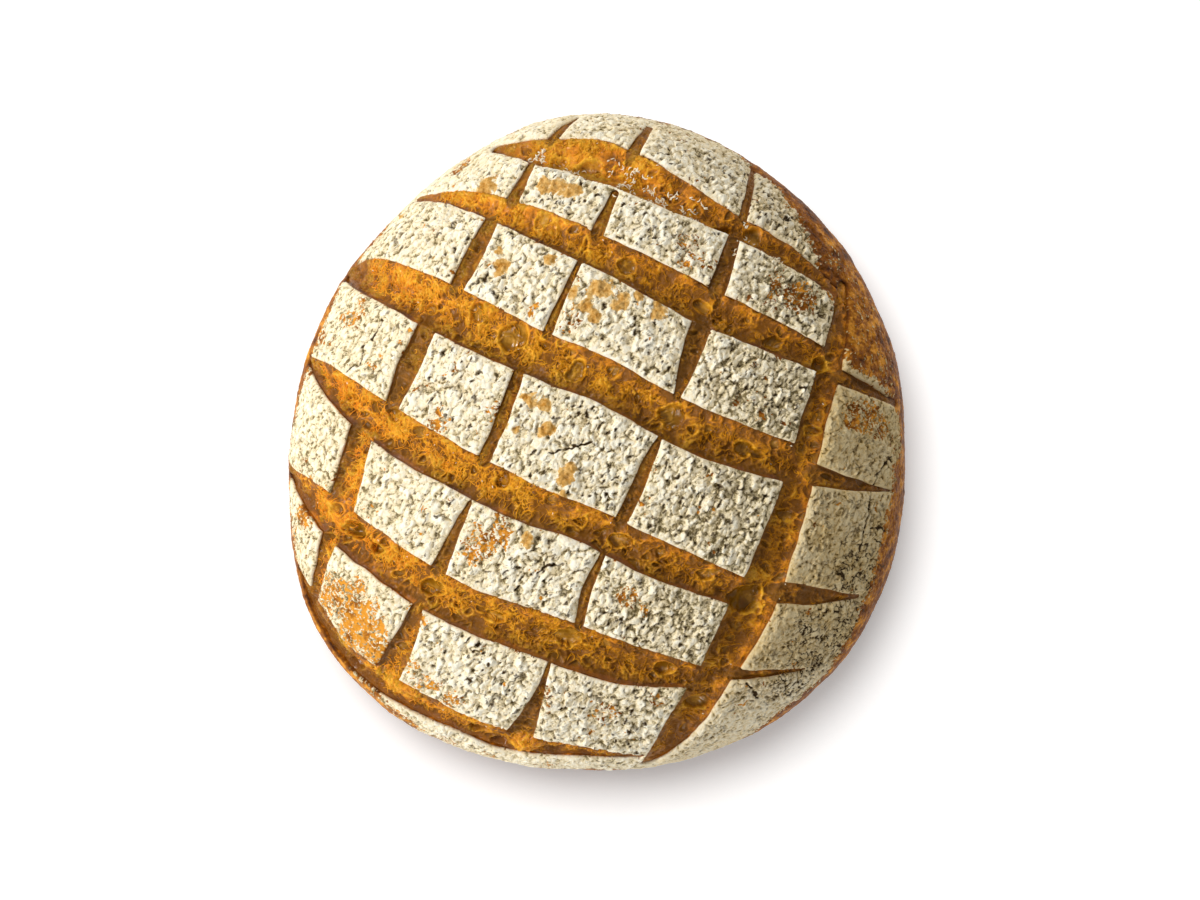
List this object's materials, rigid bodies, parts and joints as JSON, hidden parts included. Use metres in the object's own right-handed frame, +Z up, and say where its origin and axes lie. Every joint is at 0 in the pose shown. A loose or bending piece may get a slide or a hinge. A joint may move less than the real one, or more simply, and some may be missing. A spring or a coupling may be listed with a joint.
{
  "type": "sourdough loaf",
  "caption": "Round floured sourdough loaf with a domed top, a lattice of open blade cuts and a flat base.",
  "frame": {"origin": "middle of the loaf's bounding box, on the flat base", "axes": "+Z up through the crown; +X to the right and +Y away, seen with the long cuts falling from left to right"},
  "size_m": [0.2292, 0.2432, 0.095],
  "materials": {
    "floured_crust": "matt floured baked crust with golden open cuts"
  },
  "bodies": {
    "root": {"loaf": "floured_crust"}
  },
  "joints": []
}
